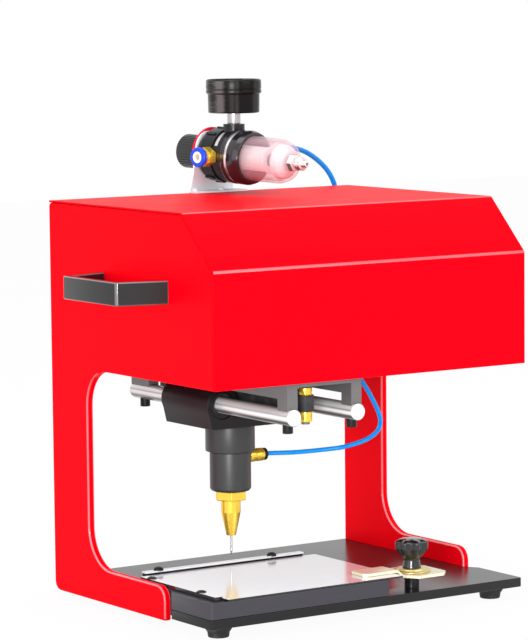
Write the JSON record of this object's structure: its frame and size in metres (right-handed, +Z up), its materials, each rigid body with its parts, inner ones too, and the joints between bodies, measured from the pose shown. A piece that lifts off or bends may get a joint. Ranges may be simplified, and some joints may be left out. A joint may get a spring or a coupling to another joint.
{
  "type": "nameplate marking machine",
  "caption": "Benchtop pneumatic dot marking machine: X and Y gantry with a stylus inside a sheet-metal head, over a work table, with a filter regulator and gauge on top.",
  "frame": {"origin": "centre of the bounding box's footprint, on the bench top under the feet", "axes": "+Z up, +X to the operator's right, +Y to the machine's rear"},
  "size_m": [0.51, 0.3744, 0.564],
  "materials": {
    "red_paint": "gloss",
    "black_paint": "satin",
    "black_handle": "satin",
    "rubber": "matt",
    "table_grey": "anodised",
    "bright_sheet": "polished",
    "black_plastic": "satin",
    "gauge_black": "satin",
    "motor_black": "satin",
    "cream_plate": "plated",
    "chrome": "polished",
    "steel": "ground",
    "channel_grey": "anodised",
    "carriage_black": "anodised",
    "stylus_grey": "anodised",
    "brass": "polished",
    "belt_rubber": "matt",
    "blue_hose": "gloss",
    "blue_plastic": "gloss",
    "red_plastic": "gloss",
    "white_plastic": "matt",
    "clear_bowl": "clear",
    "clear_lens": "clear",
    "bracket_white": "gloss"
  },
  "bodies": {
    "frame": {"left_side_plate": "red_paint", "right_side_plate": "red_paint", "top_cover": "red_paint", "rear_cover": "red_paint", "base_plate": "black_paint", "rear_stop": "black_paint", "left_handle": "black_handle", "right_handle": "black_handle", "front_left_foot": "rubber", "front_right_foot": "rubber", "rear_left_foot": "rubber", "rear_right_foot": "rubber", "work_table": "table_grey", "table_top": "bright_sheet", "left_stop": "bright_sheet", "regulator_body": "black_plastic", "bowl_collar": "black_plastic", "gauge_body": "gauge_black", "x_motor": "motor_black", "front_x_rail": "chrome", "rear_x_rail": "chrome", "control_socket": "steel", "left_rail_bracket": "channel_grey", "right_rail_bracket": "channel_grey", "inlet_fitting": "brass", "rear_elbow": "brass", "x_belt": "belt_rubber", "feed_hose": "blue_hose", "panel_nut": "red_plastic", "filter_element": "white_plastic", "filter_bowl": "clear_bowl", "gauge_lens": "clear_lens", "regulator_bracket": "bracket_white"},
    "cross_slide": {"x_carriage": "channel_grey", "air_valve": "black_plastic", "y_channel": "channel_grey", "left_y_rod": "chrome", "right_y_rod": "chrome", "y_motor": "motor_black", "y_belt": "belt_rubber"},
    "marking_head": {"head_carriage": "carriage_black", "left_bearing": "carriage_black", "right_bearing": "carriage_black", "stylus_collar": "stylus_grey", "stylus_body": "stylus_grey", "stylus_nozzle": "brass", "stylus_spring": "steel", "stylus_fitting": "brass", "stylus_hose": "blue_hose"},
    "stylus_pin": {"stylus_pin": "steel"},
    "x_drive_pulley": {"x_drive_pulley": "brass"},
    "x_idler_pulley": {"x_idler_pulley": "brass"},
    "y_drive_pulley": {"y_drive_pulley": "brass"},
    "y_idler_pulley": {"y_idler_pulley": "brass"},
    "pressure_knob": {"pressure_knob": "black_plastic"},
    "gauge_needle": {"gauge_needle": "red_plastic"},
    "drain_valve": {"drain_valve": "chrome"},
    "inlet_release_collar": {"inlet_release_collar": "blue_plastic"},
    "clamp_plate": {"clamp_plate": "cream_plate"},
    "clamp_knob": {"clamp_knob": "black_plastic"}
  },
  "joints": [
    {"name": "x_slide", "type": "slide", "parent": "frame", "child": "cross_slide", "axis": [1, 0, 0], "range_m": [-0.082, 0.115]},
    {"name": "y_slide", "type": "slide", "parent": "cross_slide", "child": "marking_head", "axis": [0, 1, 0], "range_m": [-0.11, 0.043]},
    {"name": "stylus_stroke", "type": "slide", "parent": "marking_head", "child": "stylus_pin", "axis": [0, 0, -1], "range_m": [0, 0.008], "stiffness_N_per_m": 600, "springref_m": -0.004, "deforming": ["stylus_spring"]},
    {"name": "x_drive_spin", "type": "hinge", "parent": "frame", "child": "x_drive_pulley", "pos_m": [-0.165, -0.03323, 0.325], "axis": [0, 0, 1], "range_deg": [-600, 830]},
    {"name": "x_idler_spin", "type": "hinge", "parent": "frame", "child": "x_idler_pulley", "pos_m": [0.165, -0.03323, 0.325], "axis": [0, 0, 1], "range_deg": [-600, 830]},
    {"name": "y_drive_spin", "type": "hinge", "parent": "cross_slide", "child": "y_drive_pulley", "pos_m": [-0.0685, 0.10977, 0.215], "axis": [0, 0, 1], "range_deg": [-800, 320]},
    {"name": "y_idler_spin", "type": "hinge", "parent": "cross_slide", "child": "y_idler_pulley", "pos_m": [-0.0685, -0.15823, 0.215], "axis": [0, 0, 1], "range_deg": [-800, 320]},
    {"name": "pressure_knob_turn", "type": "hinge", "parent": "frame", "child": "pressure_knob", "pos_m": [0.017, 0.13477, 0.4795], "axis": [0.2415, -0.9687, -0.0576], "range_deg": [-720, 720]},
    {"name": "gauge_needle_turn", "type": "hinge", "parent": "frame", "child": "gauge_needle", "pos_m": [0.023, 0.10977, 0.5555], "axis": [0, 0, -1], "range_deg": [0, 270]},
    {"name": "drain_push", "type": "slide", "parent": "frame", "child": "drain_valve", "axis": [-0.2415, 0.9687, 0.0576], "range_m": [0, 0.003], "stiffness_N_per_m": 400, "springref_m": -0.003},
    {"name": "inlet_release_push", "type": "slide", "parent": "frame", "child": "inlet_release_collar", "axis": [0.9703, 0.2419, 0], "range_m": [0, 0.0015], "stiffness_N_per_m": 400, "springref_m": -0.003},
    {"name": "clamp_plate_swing", "type": "hinge", "parent": "frame", "child": "clamp_plate", "pos_m": [0.074, -0.15023, 0.037], "axis": [0, 0, 1], "range_deg": [-75, 75]},
    {"name": "clamp_knob_turn", "type": "hinge", "parent": "frame", "child": "clamp_knob", "pos_m": [0.074, -0.15023, 0.0403], "axis": [0, 0, 1], "range_deg": [-720, 720]}
  ],
  "couplings": [
    {"joint": "x_drive_spin", "follows": "x_slide", "rad_per_m": 124.22},
    {"joint": "x_idler_spin", "follows": "x_slide", "rad_per_m": 124.22},
    {"joint": "y_drive_spin", "follows": "y_slide", "rad_per_m": 124.22},
    {"joint": "y_idler_spin", "follows": "y_slide", "rad_per_m": 124.22}
  ]
}
